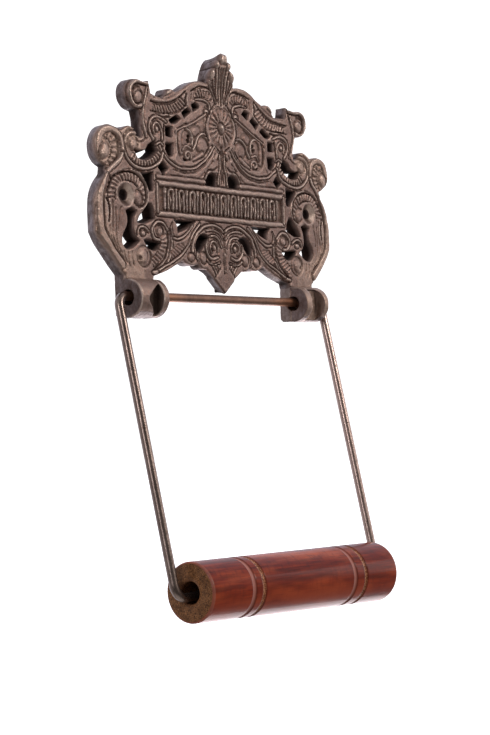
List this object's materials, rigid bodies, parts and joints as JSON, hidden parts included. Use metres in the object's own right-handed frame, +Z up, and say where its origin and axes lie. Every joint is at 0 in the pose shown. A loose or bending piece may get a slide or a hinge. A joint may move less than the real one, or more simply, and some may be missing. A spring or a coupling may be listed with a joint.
{
  "type": "wall toilet-roll holder",
  "caption": "Ornate openwork cast-iron wall plate with knuckle lugs, a swinging wire bail and a turned wooden roller for a paper roll.",
  "frame": {"origin": "on the wall, in the plate's flat back, midway between the two screw holes", "axes": "+X along the roller, -Y out from the wall, +Z up"},
  "size_m": [0.1502, 0.0455, 0.2294],
  "materials": {
    "bronzed_iron": "dark bronzed lacquer, rubbed bright on the raised edges",
    "worn_steel": "polished wire with a thin rust-brown tarnish",
    "varnished_wood": "glossy dark red-brown varnish"
  },
  "bodies": {
    "wall_plate": {"back_plate": "bronzed_iron"},
    "bail": {"wire_bail": "worn_steel"},
    "roller": {"wooden_roller": "varnished_wood"}
  },
  "joints": [
    {"name": "bail_swing", "type": "hinge", "parent": "wall_plate", "child": "bail", "pos_m": [0, -0.00625, -0.0392], "axis": [-1, 0, 0], "range_deg": [-10.5, 150]},
    {"name": "roller_spin", "type": "hinge", "parent": "bail", "child": "roller", "pos_m": [0, -0.03363, -0.15349], "axis": [0.9997, -0.0023, -0.0263], "continuous": true}
  ]
}
